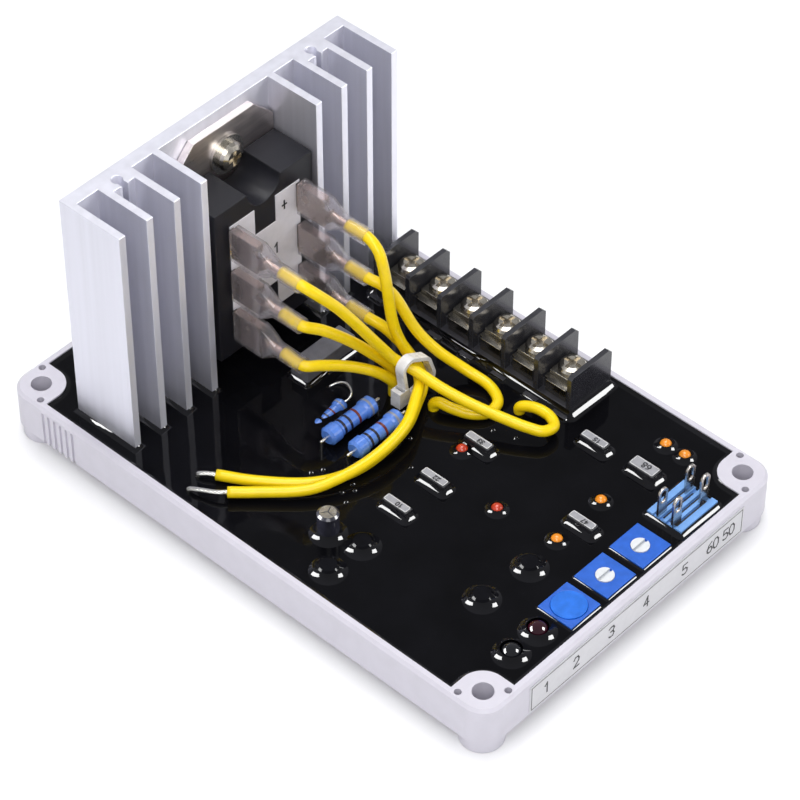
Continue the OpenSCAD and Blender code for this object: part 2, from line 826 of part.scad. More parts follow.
// Outside or inside of a sleeve: flat over the channel, round over the barrel and the lead
module sleeve_form(flat_t, flat_w, bore, extra) {
  translate([-flat_t / 2, sleeve_flat_end, -flat_w / 2])
    cube([flat_t, sleeve_start - sleeve_flat_end + extra, flat_w]);
  hull() {
    translate([-flat_t / 2, sleeve_flat_end, -flat_w / 2])
      cube([flat_t, 0.01, flat_w]);
    forward_cylinder(0, sleeve_tube_start, 0, bore, 0.01, $fn = hull_fn);
  }
  forward_cylinder(0, sleeve_tube_start, 0, bore, sleeve_tube_start - sleeve_end + extra);
}

module sleeve(i) {
  play = 2 * sleeve_play;
  wall = 2 * sleeve_t;
  color([0.85, 0.8, 0.75, 0.5])
    translate([tab_x[i], 0, tab_z[i]])
      difference() {
        sleeve_form(channel_t + play + wall, channel_w + play + wall, sleeve_bore + wall, 0);
        sleeve_form(channel_t + play, channel_w + play, sleeve_bore, cut);
      }
}

// Leads, their tinned ends and the cable tie

module lead(route) {
  color("gold")
    tube(route, lead_d, lead_sides);
}

module tinned_ends() {
  color("silver")
    for (route = [end_1_route, end_3_route])
      tube(route, end_d, lead_sides);
}

// Loop around the bundle, grown from the places of its outer leads
module tie_loop(r) {
  hull()
    for (s = tie_spots)
      translate(s)
        circle(r, $fn = hull_fn);
}

module cable_tie() {
  inner = lead_d / 2 + tie_play;
  head_at = [tie_spots[0][0] - inner - tie_head[0], tie_spots[0][1] - tie_head[2] / 2,
    (tie_w - tie_head[1]) / 2];
  color("white")
    translate([0, tie_y + tie_w / 2, 0])
      rotate([90, 0, 0])
        difference() {
          union() {
            linear_extrude(tie_w)
              tie_loop(inner + tie_t);
            translate(head_at)
              cube([tie_head[0], tie_head[2], tie_head[1]]);
          }
          translate([0, 0, -tie_head[1]])
            linear_extrude(3 * tie_head[1])
              tie_loop(inner);
          translate(head_at + [tie_head[0] / 3, -cut, (tie_head[1] - tie_w) / 2])
            cube([tie_t, tie_head[2] + 2 * cut, tie_w]);
        }
}

// Terminal strip

// Foot print of the strip with the small feet along its inner side
module strip_plan(grow) {
  translate([strip_x, strip_y])
    plan_box(strip_w + 2 * grow, strip_len + 2 * grow);
  for (y = barrier_y)
    translate([strip_x - (strip_w + strip_foot_w) / 2, strip_foot_y(y)])
      plan_box(strip_foot_w + 2 * grow, strip_foot_l + 2 * grow);
}

// The end feet stay within the strip's length
function strip_foot_y(y) =
  let (reach = (strip_len - strip_foot_l) / 2)
  max(strip_y - reach, min(strip_y + reach, y));

// Side view of the base: a seat between two lower ledges
module strip_section() {
  w = strip_w / 2;
  polygon([[-w, 0], [w, 0], [w, seat_h - ledge_drop], [w - ledge_w, seat_h - ledge_drop], [w - ledge_w, seat_h],
    [ledge_w - w, seat_h], [ledge_w - w, seat_h - ledge_drop], [-w, seat_h - ledge_drop]]);
}

// Side view of a barrier, with its two top corners cut back
module barrier_section() {
  w = strip_w / 2;
  h = seat_h + barrier_h;
  polygon([[-w, 0], [w, 0], [w, h - barrier_cut], [w - barrier_cut, h], [barrier_ease - w, h],
    [-w, h - barrier_ease]]);
}

module terminal_block() {
  color([0.13, 0.13, 0.14])
    difference() {
      union() {
        translate([strip_x, strip_y, board_top])
          rotate([90, 0, 0])
            linear_extrude(strip_len, center = true)
              strip_section();
        for (y = barrier_y)
          translate([strip_x, y, board_top])
            rotate([90, 0, 0])
              linear_extrude(barrier_t, center = true)
                barrier_section();
        for (y = barrier_y)
          block([strip_x - (strip_w + strip_foot_w) / 2, strip_foot_y(y)], strip_foot_w, strip_foot_l,
            strip_foot_h, board_top);
      }
      for (y = pole_y)
        translate([strip_x, y, seat_z - clamp_screw_len])
          cylinder(d = clamp_screw_d + 2 * clamp_screw_fit, h = clamp_screw_len + cut);
    }
}

// Metal plate on each seat, with its wire side turned down over the ledge
module terminal_plates() {
  color("silver")
    for (y = pole_y)
      difference() {
        union() {
          block([strip_x, y], plate_l + 1, plate_w, plate_t, seat_z);
          block([strip_x - strip_w / 2 + ledge_w - plate_t / 2, y], plate_t, plate_w - 2,
            ledge_drop + plate_t, seat_z - ledge_drop);
        }
        translate([strip_x, y, seat_z - cut])
          cylinder(d = clamp_screw_d + 2 * clamp_screw_fit, h = plate_t + 2 * cut);
      }
}

// Square clamp under each screw head
module terminal_clamps() {
  color("lightgray")
    for (y = pole_y)
      difference() {
        block([strip_x, y], clamp_w, clamp_w, clamp_t, seat_z + plate_t);
        translate([strip_x, y, seat_z])
          cylinder(d = clamp_screw_d + 2 * clamp_screw_fit, h = plate_t + clamp_t + cut);
      }
}

module terminal_screws() {
  color("silver")
    for (y = pole_y)
      translate([strip_x, y, clamp_head_z]) {
        cross_head(clamp_head_d, clamp_head_h, clamp_slot_l, clamp_slot_w, clamp_slot_depth);
        translate([0, 0, seat_z + 0.2 - clamp_screw_len - clamp_head_z])
          cylinder(d = clamp_screw_d, h = clamp_head_z - seat_z - 0.2 + clamp_screw_len);
      }
}

// Trimmers

// Trimmer body with a round seat of the given size in its top
module trimmer(spot, seat_d, seat_depth) {
  color("royalblue")
    difference() {
      block(spot, trimmer_w, trimmer_w, trimmer_h, board_top);
      translate([spot[0], spot[1], trimmer_top - seat_depth])
        cylinder(d = seat_d + 2 * rotor_fit, h = seat_depth + cut);
    }
}

module rotor(spot) {
  color("white")
    translate([spot[0], spot[1], trimmer_top - rotor_h + rotor_proud])
      difference() {
        cylinder(d = rotor_d, h = rotor_h);
        translate([-rotor_d, -rotor_slot_w / 2, rotor_h - rotor_slot_d])
          cube([2 * rotor_d, rotor_slot_w, rotor_slot_d + cut]);
      }
}

module seal_disc() {
  color("dodgerblue")
    translate([trimmer_spots[0][0], trimmer_spots[0][1], trimmer_top - seal_h])
      cylinder(d = seal_d, h = seal_h + rotor_proud);
}

// Selector

module selector_block() {
  color("lightskyblue")
    difference() {
      block(selector_spot, selector_w, selector_d, selector_h, board_top);
      for (k = [0:rib_count - 2])
        translate([selector_spot[0] - selector_w / 2 - cut,
          selector_spot[1] + (k - (rib_count - 2) / 2) * 2 * rib_w - rib_w / 2, selector_top - rib_h])
          cube([selector_w + 2 * cut, rib_w, rib_h + cut]);
      for (s = lug_spots())
        block(s, lug_w + 2 * lug_fit, lug_t + 2 * lug_fit, lug_seat + cut, selector_top - lug_seat);
    }
}

function lug_spots() = [for (a = [-1, 1], b = [-1, 1])
  [selector_spot[0] + a * lug_spread_x / 2, selector_spot[1] + b * lug_spread_y / 2]];

// Upright lugs with a long eye
module selector_lugs() {
  top = lug_seat + lug_h - lug_w / 2;
  color("silver")
    for (s = lug_spots())
      translate([s[0], s[1] + lug_t / 2, selector_top - lug_seat])
        rotate([90, 0, 0])
          linear_extrude(lug_t)
            difference() {
              union() {
                translate([-lug_w / 2, 0])
                  square([lug_w, top]);
                translate([0, top])
                  circle(d = lug_w);
              }
              translate([0, top])
                circle(d = lug_eye_d);
              translate([-lug_eye_d / 2, top - 2])
                square([lug_eye_d, 2]);
              translate([0, top - 2])
                circle(d = lug_eye_d);
            }
}

// Lamps and small parts

module lamp(spot, tint) {
  color(tint)
    translate([spot[0], spot[1], board_top]) {
      cylinder(d = lamp_d, h = lamp_cyl_h);
      translate([0, 0, lamp_cyl_h])
        sphere(d = lamp_d);
    }
}

module film_capacitors() {
  color("dimgray") {
    for (s = film_spots)
      block(s, film_w, film_l, film_h, board_top);
    block(wide_film_spot, wide_film_w, film_l, film_h, board_top);
  }
}

// Dipped bead with a round top
module beads(spots, tint) {
  color(tint)
    for (s = spots)
      translate([s[0], s[1], board_top]) {
        cylinder(d = bead_d, h = bead_h);
        translate([0, 0, bead_h])
          sphere(d = bead_d);
      }
}

// Sleeved can with a bevelled shoulder
module can(spot, h) {
  shoulder = 0.5;
  translate([spot[0], spot[1], board_top]) {
    cylinder(d = can_d, h = h - shoulder);
    translate([0, 0, h - shoulder])
      cylinder(d1 = can_d, d2 = can_d - 2 * shoulder, h = shoulder);
  }
}

module tall_capacitor() {
  color([0.12, 0.12, 0.16])
    can(tall_can_spot, tall_can_h);
}

module low_capacitors() {
  color([0.1, 0.1, 0.1])
    for (s = low_can_spots)
      can(s, low_can_h);
}

module box_capacitor() {
  color("gray")
    block(box_spot, box_l, box_w, box_h, board_top);
}

// Resistor body along X with raised end cups, its right end tilted up
module resistor_body(spot, z, l, d, tilt = 0) {
  cup = l / 5;
  waist = d / 2 - 0.35;
  translate([spot[0], spot[1], z])
    rotate([0, 90 - tilt, 0])
      rotate_extrude()
        polygon([[0, -l / 2], [d / 2 - 0.6, -l / 2], [d / 2, 0.6 - l / 2], [d / 2, cup - l / 2],
          [waist, cup + 0.5 - l / 2], [waist, l / 2 - cup - 0.5], [d / 2, l / 2 - cup], [d / 2, l / 2 - 0.6],
          [d / 2 - 0.6, l / 2], [0, l / 2]]);
}

module resistor(spot) {
  color("cornflowerblue")
    resistor_body(spot, resistor_axis_z, resistor_l, resistor_d);
}

module resistor_3() {
  color("cornflowerblue")
    resistor_body(sunk_spot, sunk_axis_z, sunk_l, sunk_d, sunk_tilt);
}

function resistor_wire_spots() = [for (s = resistor_spots, side = [-1, 1])
  [s[0] + side * (resistor_l / 2 + resistor_wire_reach), s[1]]];

// Bent wires that carry the two large resistors
module resistor_wires() {
  color("silver")
    for (s = resistor_spots, side = [-1, 1]) {
      bend = [s[0] + side * (resistor_l / 2 + resistor_wire_reach), s[1], resistor_axis_z];
      rod([s[0] + side * resistor_l / 2, s[1], resistor_axis_z], bend, resistor_wire_d);
      translate(bend)
        sphere(d = resistor_wire_d);
      translate([bend[0], bend[1], board_top])
        cylinder(d = resistor_wire_d, h = resistor_axis_z - board_top);
    }
}

module front_label() {
  color("gainsboro")
    translate([front_label_x - front_label_l / 2, -half_l - front_label_t, front_label_z - front_label_h / 2])
      cube([front_label_l, front_label_t, front_label_h]);
}

tray();
circuit_board();
potting_resin();
heat_sink();
heat_sink_screws();
module_base();
module_body();
module_label();
module_tabs();
module_washers();
module_screws();
receptacle(0);  // receptacle_1
receptacle(1);  // receptacle_2
receptacle(2);  // receptacle_3
receptacle(3);  // receptacle_4
receptacle(4);  // receptacle_5
receptacle(5);  // receptacle_6
sleeve(0);  // sleeve_1
sleeve(1);  // sleeve_2
sleeve(2);  // sleeve_3
sleeve(3);  // sleeve_4
sleeve(4);  // sleeve_5
sleeve(5);  // sleeve_6
lead(lead_1_route);  // lead_1
lead(lead_2_route);  // lead_2
lead(lead_3_route);  // lead_3
lead(lead_4_route);  // lead_4
lead(lead_5_route);  // lead_5
lead(lead_6_route);  // lead_6
tinned_ends();
cable_tie();
terminal_block();
terminal_plates();
terminal_clamps();
terminal_screws();
trimmer(trimmer_spots[0], seal_d, seal_h);  // trimmer_1
trimmer(trimmer_spots[1], rotor_d, rotor_h);  // trimmer_2
trimmer(trimmer_spots[2], rotor_d, rotor_h);  // trimmer_3
seal_disc();
rotor(trimmer_spots[1]);  // rotor_2
rotor(trimmer_spots[2]);  // rotor_3
selector_block();
selector_lugs();
lamp(lamp_spots[0], [0.2, 0.22, 0.24]);  // power_lamp
lamp(lamp_spots[1], [0.3, 0.05, 0.08]);  // warning_lamp
film_capacitors();
beads(orange_spots, "orange");  // orange_capacitors
beads(red_spots, "tomato");  // red_capacitors
tall_capacitor();
low_capacitors();
box_capacitor();
resistor(resistor_spots[0]);  // resistor_1
resistor(resistor_spots[1]);  // resistor_2
resistor_3();
resistor_wires();
front_label();
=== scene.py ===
import json
import math

import bpy
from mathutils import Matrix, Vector


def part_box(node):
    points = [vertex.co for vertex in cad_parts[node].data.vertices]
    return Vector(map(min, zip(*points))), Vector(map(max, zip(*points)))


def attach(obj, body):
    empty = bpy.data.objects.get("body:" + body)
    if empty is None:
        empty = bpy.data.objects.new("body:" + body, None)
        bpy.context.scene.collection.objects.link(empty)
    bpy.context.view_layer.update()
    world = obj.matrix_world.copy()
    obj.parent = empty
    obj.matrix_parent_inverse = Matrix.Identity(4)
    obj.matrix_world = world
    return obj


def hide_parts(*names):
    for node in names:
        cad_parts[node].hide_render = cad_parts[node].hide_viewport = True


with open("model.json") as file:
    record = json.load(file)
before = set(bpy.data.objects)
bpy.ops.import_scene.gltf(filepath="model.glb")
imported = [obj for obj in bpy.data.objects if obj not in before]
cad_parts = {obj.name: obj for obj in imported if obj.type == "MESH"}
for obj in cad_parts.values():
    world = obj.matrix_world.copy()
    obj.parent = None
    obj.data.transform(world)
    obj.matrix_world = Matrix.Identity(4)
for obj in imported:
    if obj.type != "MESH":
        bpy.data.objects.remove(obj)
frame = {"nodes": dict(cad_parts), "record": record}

NODES = frame["nodes"]
SLOT_OF = {s["node"]: s["material_slot"] for s in frame["record"]["subparts"]}
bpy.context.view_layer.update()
MM = 0.001
X, Y, Z = Vector((1, 0, 0)), Vector((0, 1, 0)), Vector((0, 0, 1))


# Camera and picture: the photo's view and its plain contrast

CAMERA_AZIMUTH, CAMERA_ELEVATION = math.radians(-47.242), math.radians(44.781)
CAMERA_DISTANCE = 0.74728
CAMERA_TARGET = Vector((-0.001109, -0.004837, 0.02675))
CAMERA_LENS, CAMERA_SENSOR = 153.115, 36.0
CAMERA_NEAR, CAMERA_FAR = 0.02, 20.0

bpy.context.scene.view_settings.view_transform = "Standard"


def make_camera():
    level = math.cos(CAMERA_ELEVATION)
    back = Vector((math.sin(CAMERA_AZIMUTH) * level, -math.cos(CAMERA_AZIMUTH) * level,
                   math.sin(CAMERA_ELEVATION)))
    data = bpy.data.cameras.new("camera")
    data.lens, data.sensor_width = CAMERA_LENS, CAMERA_SENSOR
    data.clip_start, data.clip_end = CAMERA_NEAR, CAMERA_FAR
    cam = bpy.data.objects.new("camera", data)
    cam.location = CAMERA_TARGET + back * CAMERA_DISTANCE
    cam.rotation_mode = "QUATERNION"
    cam.rotation_quaternion = (-back).to_track_quat("-Z", "Y")
    bpy.context.scene.collection.objects.link(cam)
    bpy.context.scene.camera = cam


make_camera()


# Meshes

def new_mesh(name, verts, faces, smooth=False):
    mesh = bpy.data.meshes.new(name)
    mesh.from_pydata([tuple(v) for v in verts], [], faces)
    mesh.validate()
    mesh.update()
    if smooth:
        mesh.polygons.foreach_set("use_smooth", [True] * len(mesh.polygons))
    obj = bpy.data.objects.new(name, mesh)
    bpy.context.scene.collection.objects.link(obj)
    return obj


def place(obj):
    """Everything that the scene adds rides on the base; the rotors are CAD pieces."""
    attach(obj, "base")
    return obj


def paint(obj, m):
    obj.data.materials.clear()
    obj.data.materials.append(m)


def ring(centre, side, up, radius, count):
    angles = [2 * math.pi * k / count for k in range(count)]
    return [centre + side * (radius * math.cos(a)) + up * (radius * math.sin(a)) for a in angles]


def join_rings(base, rings, count, faces, flip=False):
    """Quads between closed rings of points that follow one another from index base."""
    for i in range(rings - 1):
        for k in range(count):
            j = (k + 1) % count
            a, b = base + i * count + k, base + i * count + j
            c, d = b + count, a + count
            faces.append((a, d, c, b) if flip else (a, b, c, d))


def smooth_route(points, steps):
    """Centripetal spline through the points, so that the tube bends evenly."""
    p = [Vector(q) for q in points]
    p = [p[0] * 2 - p[1], *p, p[-1] * 2 - p[-2]]
    out = []
    for i in range(1, len(p) - 2):
        a, b, c, d = p[i - 1:i + 3]
        t0 = 0.0
        t1 = t0 + (b - a).length ** 0.5
        t2 = t1 + (c - b).length ** 0.5
        t3 = t2 + (d - c).length ** 0.5
        for k in range(steps):
            t = t1 + (t2 - t1) * k / steps
            a1 = a * ((t1 - t) / (t1 - t0)) + b * ((t - t0) / (t1 - t0))
            a2 = b * ((t2 - t) / (t2 - t1)) + c * ((t - t1) / (t2 - t1))
            a3 = c * ((t3 - t) / (t3 - t2)) + d * ((t - t2) / (t3 - t2))
            b1 = a1 * ((t2 - t) / (t2 - t0)) + a2 * ((t - t0) / (t2 - t0))
            b2 = a2 * ((t3 - t) / (t3 - t1)) + a3 * ((t - t1) / (t3 - t1))
            out.append(b1 * ((t2 - t) / (t2 - t1)) + b2 * ((t - t1) / (t2 - t1)))
    out.append(p[-2])
    return out


# Any direction that no route runs along
FIRST_SIDE = Vector((1, 0.1, 0.05))


def route_frames(path):
    """A side and an up vector at each point, carried along the path without twist."""
    frames, side = [], None
    for i, q in enumerate(path):
        t = (path[min(i + 1, len(path) - 1)] - path[max(i - 1, 0)]).normalized()
        if side is None:
            side = t.cross(FIRST_SIDE).normalized()
        side = (side - t * side.dot(t)).normalized()
        frames.append((q, side, t.cross(side)))
    return frames


def sweep(path, radius, sides, verts, faces):
    """Open tube along the path."""
    base = len(verts)
    for q, side, up in route_frames(path):
        verts.extend(ring(q, side, up, radius, sides))
    join_rings(base, len(path), sides, faces)


def tube(name, path, radius, sides):
    verts, faces = [], []
    sweep(path, radius, sides, verts, faces)
    faces.append(tuple(range(sides - 1, -1, -1)))
    faces.append(tuple(range(len(verts) - sides, len(verts))))
    return new_mesh(name, verts, faces, smooth=True)


# Leads: the routes of the CAD tubes, in metres

ROUTES = {
    1: [(.0115, .0224, .0534), (.0115, .0164, .0534), (.0112, .013, .0516), (.0107, .0106, .0464),
        (.0107, .0084, .034), (.0124, .0078, .0274), (.0136, .0066, .0234), (.0134, .0036, .0205),
        (.0112, .0006, .0196), (.0072, -.002, .0195), (.0002, -.0057, .0192), (-.0069, -.0069, .0186),
        (-.0146, -.0063, .0176), (-.0211, -.0044, .0166), (-.0268, -.0016, .0158), (-.0352, .0068, .0154),
        (-.0393, .0112, .0154)],
    2: [(.0115, .0224, .0413), (.0115, .0164, .0413), (.0128, .0136, .0402), (.0148, .0116, .0366),
        (.0178, .0075, .0266), (.0206, .0034, .0208), (.0238, -.0024, .0164), (.0248, -.0084, .0148),
        (.0222, -.0132, .0147), (.0182, -.0138, .0147), (.0152, -.0112, .0148), (.0132, -.0072, .0154),
        (.0123, -.0042, .0158), (.012, -.003, .0147), (.012, -.003, .0133)],
    3: [(.0115, .0224, .0292), (.0115, .0164, .0292), (.013, .0129, .0274), (.0152, .0092, .0226),
        (.0158, .0058, .0188), (.015, .003, .017), (.0126, .001, .0164), (.0088, -.001, .0163),
        (.0015, -.0045, .0166), (-.0054, -.0055, .016), (-.0132, -.0049, .015), (-.0196, -.0028, .0147),
        (-.0251, .0009, .0147), (-.0323, .0097, .0147), (-.0367, .0172, .0147)],
    4: [(-.0095, .0224, .0534), (-.0095, .0164, .0534), (-.0074, .0136, .0508), (-.0032, .0112, .0452),
        (.006, .0071, .0296), (.0088, .0058, .025), (.0104, .0032, .0234), (.0112, .0006, .0225),
        (.0122, -.0044, .021), (.0142, -.0114, .0192), (.0164, -.0188, .0182), (.0187, -.0246, .0172),
        (.0208, -.028, .0166), (.0238, -.0284, .0162), (.0256, -.0256, .0162), (.0254, -.0214, .0162),
        (.0245, -.0186, .0154), (.0243, -.0178, .0145), (.0243, -.0178, .0133)],
    5: [(-.0095, .0224, .0413), (-.0095, .0164, .0413), (-.006, .014, .0392), (0, .0116, .0334),
        (.0056, .0098, .0266), (.0098, .009, .0208), (.0112, .0088, .0174), (.0115, .0088, .0152),
        (.0115, .0088, .0133)],
    6: [(-.0095, .0224, .0292), (-.0095, .0164, .0292), (-.0064, .0142, .0285), (-.001, .0116, .0262),
        (.0044, .0087, .0228), (.0078, .0072, .0192), (.0092, .0068, .0168), (.0094, .0068, .0148),
        (.0094, .0068, .0133)],
}
ENDS = {
    1: [(-.0393, .0112, .0154), (-.04066, .01266, .0154), (-.0429, .0176, .0146), (-.0434, .0192, .0139),
        (-.0434, .0192, .0133)],
    3: [(-.0367, .0172, .0147), (-.03771, .01893, .0147), (-.0388, .0206, .0143), (-.0389, .0209, .0139),
        (-.0389, .0209, .0133)],
}
LEAD_D, LEAD_SIDES, LEAD_STEPS = 0.0026, 20, 6

# Tinned ends: strands of STRAND_R that run at LAY_R around the end's line, one radian of turn per TWIST
STRANDS, STRAND_SIDES, STRAND_STEPS = 6, 6, 8
LAY_R, STRAND_R, TWIST = 0.00034, 0.00021, 0.0011

pieces = {}


def stranded_end(name, points):
    """Tinned strands, twisted about the end's own line."""
    verts, faces = [], []
    frames = route_frames(smooth_route(points, STRAND_STEPS))
    for strand in range(STRANDS):
        run, line = 0.0, []
        for i, (q, side, up) in enumerate(frames):
            if i:
                run += (q - frames[i - 1][0]).length
            a = 2 * math.pi * strand / STRANDS + run / TWIST
            line.append(q + side * (LAY_R * math.cos(a)) + up * (LAY_R * math.sin(a)))
        sweep(line, STRAND_R, STRAND_SIDES, verts, faces)
    return new_mesh(name, verts, faces, smooth=True)


def make_leads():
    for i, points in ENDS.items():
        end = place(stranded_end(f"tinned_end_{i}", points))
        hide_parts("tinned_ends")
        pieces[f"end_{i}"] = end
    for i, points in ROUTES.items():
        path = smooth_route(points, LEAD_STEPS)
        lead = place(tube(f"insulated_lead_{i}", path, LEAD_D / 2, LEAD_SIDES))
        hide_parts(f"lead_{i}")
        pieces[f"lead_{i}"] = lead


make_leads()


# Materials: each one is a principled shader with its own grain

COAT_ROUGH = 0.06
GRAIN_DETAIL, BUMP_DETAIL = 4.0, 3.0
GRAIN_DARK_AT, GRAIN_LIGHT_AT = 0.3, 0.7
SMOOTHEST = 0.02


def noise_node(nt, mapping, scale, detail):
    noise = nt.nodes.new("ShaderNodeTexNoise")
    noise.inputs["Scale"].default_value = scale
    noise.inputs["Detail"].default_value = detail
    nt.links.new(mapping.outputs["Vector"], noise.inputs["Vector"])
    return noise


def material(name, color, rough, metal=0.0, vary=0.08, grain=400.0, stretch=(1, 1, 1), bump=0.0,
             bump_grain=900.0, coat=0.0, alpha=1.0, clear=0.0, ior=1.5, spec=0.5, rough_vary=0.06):
    m = bpy.data.materials.new(name)
    m.use_nodes = True
    nt = m.node_tree
    nt.nodes.clear()
    out = nt.nodes.new("ShaderNodeOutputMaterial")
    shader = nt.nodes.new("ShaderNodeBsdfPrincipled")
    nt.links.new(shader.outputs["BSDF"], out.inputs["Surface"])
    for socket, value in (("Metallic", metal), ("Coat Weight", coat), ("Coat Roughness", COAT_ROUGH),
                          ("Alpha", alpha), ("Transmission Weight", clear), ("IOR", ior),
                          ("Specular IOR Level", spec)):
        shader.inputs[socket].default_value = value
    coords = nt.nodes.new("ShaderNodeTexCoord")
    mapping = nt.nodes.new("ShaderNodeMapping")
    mapping.inputs["Scale"].default_value = stretch
    nt.links.new(coords.outputs["Object"], mapping.inputs["Vector"])
    noise = noise_node(nt, mapping, grain, GRAIN_DETAIL)
    ramp = nt.nodes.new("ShaderNodeValToRGB")
    dark = tuple(c * (1 - vary) for c in color)
    light = tuple(min(1.0, c * (1 + vary)) for c in color)
    ramp.color_ramp.elements[0].position = GRAIN_DARK_AT
    ramp.color_ramp.elements[0].color = (*dark, 1)
    ramp.color_ramp.elements[1].position = GRAIN_LIGHT_AT
    ramp.color_ramp.elements[1].color = (*light, 1)
    nt.links.new(noise.outputs["Fac"], ramp.inputs["Fac"])
    nt.links.new(ramp.outputs["Color"], shader.inputs["Base Color"])
    span = nt.nodes.new("ShaderNodeMapRange")
    span.inputs["To Min"].default_value = max(SMOOTHEST, rough - rough_vary)
    span.inputs["To Max"].default_value = min(1.0, rough + rough_vary)
    nt.links.new(noise.outputs["Fac"], span.inputs["Value"])
    nt.links.new(span.outputs["Result"], shader.inputs["Roughness"])
    if bump:
        fine = noise_node(nt, mapping, bump_grain, BUMP_DETAIL)
        relief = nt.nodes.new("ShaderNodeBump")
        relief.inputs["Strength"].default_value = 1.0
        relief.inputs["Distance"].default_value = bump
        nt.links.new(fine.outputs["Fac"], relief.inputs["Height"])
        nt.links.new(relief.outputs["Normal"], shader.inputs["Normal"])
    return m


# Name, colour and roughness of each slot's material, and where it differs from the plain one
SLOT_LOOKS = (
    ("tray_plastic", (0.585, 0.565, 0.63), 0.42, dict(vary=0.025, grain=250, bump=0.00001, bump_grain=2500)),
    ("board", (0.03, 0.16, 0.07), 0.5, dict(vary=0.2)),
    ("resin", (0.003, 0.003, 0.004), 0.06, dict(vary=0.3, grain=90, bump=0.00016, bump_grain=48, spec=0.12,
                                                rough_vary=0.03)),
    ("aluminium", (0.70, 0.70, 0.77), 0.46, dict(metal=0.8, vary=0.04, grain=500, stretch=(1, 1, 0.03),
                                                 bump=0.00001, bump_grain=1500, rough_vary=0.08)),
    ("screw_steel", (0.56, 0.52, 0.45), 0.2, dict(metal=1.0, vary=0.12, grain=900)),
    ("nickel", (0.34, 0.32, 0.28), 0.2, dict(metal=1.0, vary=0.05, grain=300, rough_vary=0.03)),
    ("black_plastic", (0.029, 0.029, 0.035), 0.24, dict(vary=0.2, grain=500, coat=0.15)),
    ("label", (0.61, 0.605, 0.63), 0.45, dict(vary=0.03, grain=700)),
    ("tab_metal", (0.62, 0.58, 0.54), 0.25, dict(metal=1.0, vary=0.08, grain=900)),
    ("receptacle_brass", (0.34, 0.25, 0.21), 0.26, dict(metal=0.85, vary=0.04, grain=300)),
    ("sleeve_clear", (0.90, 0.86, 0.91), 0.08, dict(vary=0.03, grain=300, alpha=0.5, clear=0.9, ior=1.3,
                                                    coat=1.0, rough_vary=0.03)),
    ("lead_yellow", (0.86, 0.62, 0.004), 0.3, dict(vary=0.05, grain=500, coat=0.12, spec=0.35, bump=0.000008,
                                                   bump_grain=1500)),
    ("tinned_wire", (0.70, 0.69, 0.66), 0.25, dict(metal=1.0, vary=0.1, grain=1500)),
    ("tie_white", (0.70, 0.70, 0.72), 0.28, dict(vary=0.04, grain=500, coat=0.2)),
    ("trimmer_blue", (0.006, 0.10, 0.52), 0.32, dict(vary=0.12, grain=500, coat=0.15)),
    ("rotor_white", (0.66, 0.68, 0.70), 0.45, dict(vary=0.05, grain=900)),
    ("seal_blue", (0.012, 0.15, 0.66), 0.22, dict(vary=0.15, grain=450, coat=0.3)),
    ("selector_blue", (0.16, 0.35, 0.72), 0.4, dict(vary=0.08, grain=500)),
    ("lamp_clear", (0.004, 0.0045, 0.006), 0.05, dict(vary=0.3, grain=400, coat=0.2)),
    ("lamp_red", (0.016, 0.0014, 0.005), 0.05, dict(vary=0.3, grain=400, coat=0.2)),
    ("film_grey", (0.02, 0.02, 0.024), 0.28, dict(vary=0.2, grain=700, coat=0.3)),
    ("bead_orange", (0.80, 0.26, 0.012), 0.2, dict(vary=0.15, grain=700, coat=0.5)),
    ("bead_red", (0.50, 0.04, 0.012), 0.2, dict(vary=0.2, grain=700, coat=0.5)),
    ("can_dark", (0.012, 0.012, 0.018), 0.22, dict(vary=0.2, grain=500, coat=0.4)),
    ("can_black", (0.002, 0.002, 0.003), 0.1, dict(vary=0.2, grain=500, spec=0.14)),
    ("box_grey", (0.15, 0.15, 0.17), 0.34, dict(vary=0.1, grain=500)),
    ("resistor_blue", (0.09, 0.22, 0.68), 0.24, dict(vary=0.08, grain=900, coat=0.3)),
)
MATERIALS = {name: material(name, color, rough, **more) for name, color, rough, more in SLOT_LOOKS}

# Looks of single pieces that differ from their slot, and of the prints, the painted shade and the bands
MODULE_BLACK = material("module_black", (0.012, 0.012, 0.016), 0.42, vary=0.1, grain=500, bump=0.000004,
                        bump_grain=2500, spec=0.3)
# Painted light: the module's label is a lighter copy of the label white, raised to make up for the shade that
# falls on its face
MODULE_LABEL_PAINTED_LIGHT = material("module_label", (0.76, 0.735, 0.78), 0.45, vary=0.03, grain=700)
MODULE_PLATE = material("module_plate", (0.66, 0.60, 0.57), 0.3, metal=1.0, vary=0.12, grain=900,
                        stretch=(0.2, 1, 1))
WASHER = material("washer", (0.62, 0.60, 0.56), 0.24, metal=1.0, vary=0.08, grain=900)
# Dark ink for the prints; the same dark also serves as painted shade in the selector's grooves and the can's
# vent grooves
INK_AND_SHADE = material("print", (0.02, 0.02, 0.024), 0.5, vary=0.2, grain=900)
PALE_PRINT = material("pale_print", (0.62, 0.62, 0.62), 0.5, vary=0.1, grain=900)
GREY_FIELD = material("grey_field", (0.30, 0.30, 0.32), 0.4, vary=0.1, grain=900)
RESIN_EDGE = material("resin_edge", (0.003, 0.003, 0.004), 0.04, vary=0.3, grain=90, spec=0.35,
                      rough_vary=0.02)
BAND_DARK = material("band_dark", (0.012, 0.014, 0.035), 0.3, vary=0.2, grain=900)
BAND_RED = material("band_red", (0.13, 0.02, 0.016), 0.3, vary=0.2, grain=900)
BAND_GREY = material("band_grey", (0.22, 0.25, 0.34), 0.3, vary=0.2, grain=900)
OWN_LOOKS = {"module_body": MODULE_BLACK, "module_base": MODULE_PLATE, "module_washers": WASHER,
             "module_label": MODULE_LABEL_PAINTED_LIGHT}


# Edges of the CAD pieces catch the light on a small bevel, given in millimetres

